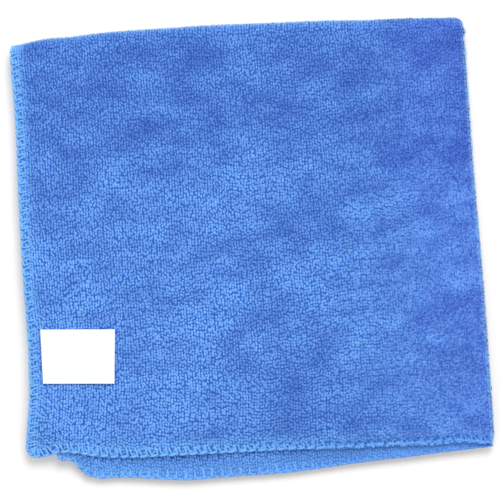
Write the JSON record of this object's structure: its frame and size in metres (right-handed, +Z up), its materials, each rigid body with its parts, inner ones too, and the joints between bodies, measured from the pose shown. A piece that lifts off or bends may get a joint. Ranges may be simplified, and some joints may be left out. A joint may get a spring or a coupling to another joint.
{
  "type": "polishing cloth",
  "caption": "Square terry polishing cloth with an overlocked edge and a sewn-in label, folded in half twice. The upper half opens on the top fold and the label lifts.",
  "frame": {"origin": "on the surface that the folded cloth lies on, under the middle of its outline", "axes": "+Z up through the stack of leaves, +Y towards the top fold, +X towards the side fold"},
  "size_m": [0.2078, 0.2054, 0.0106],
  "materials": {
    "terry": "matt terry pile",
    "edging_thread": "textured polyester thread",
    "label_tape": "woven satin tape"
  },
  "bodies": {
    "lower_half": {"bottom_leaf": "terry", "lower_inner_leaf": "terry", "lower_side_fold": "terry", "outer_top_fold": "terry", "inner_top_fold": "terry", "bottom_face_looper": "edging_thread", "bottom_back_looper": "edging_thread", "bottom_needle_thread": "edging_thread", "lower_inner_face_looper": "edging_thread", "lower_inner_back_looper": "edging_thread", "lower_inner_needle_thread": "edging_thread"},
    "upper_half": {"top_leaf": "terry", "upper_inner_leaf": "terry", "upper_side_fold": "terry", "top_face_looper": "edging_thread", "top_back_looper": "edging_thread", "top_needle_thread": "edging_thread", "upper_inner_face_looper": "edging_thread", "upper_inner_back_looper": "edging_thread", "upper_inner_needle_thread": "edging_thread"},
    "label": {"label": "label_tape"}
  },
  "joints": [
    {"name": "top_fold", "type": "hinge", "parent": "lower_half", "child": "upper_half", "pos_m": [0, 0.09772, 0.00495], "axis": [-1, 0, 0], "range_deg": [0, 180], "deforming": ["outer_top_fold", "inner_top_fold"]},
    {"name": "label_lift", "type": "hinge", "parent": "upper_half", "child": "label", "pos_m": [-0.09689, -0.0426, 0.01047], "axis": [0, -1, 0], "range_deg": [0, 170]}
  ]
}
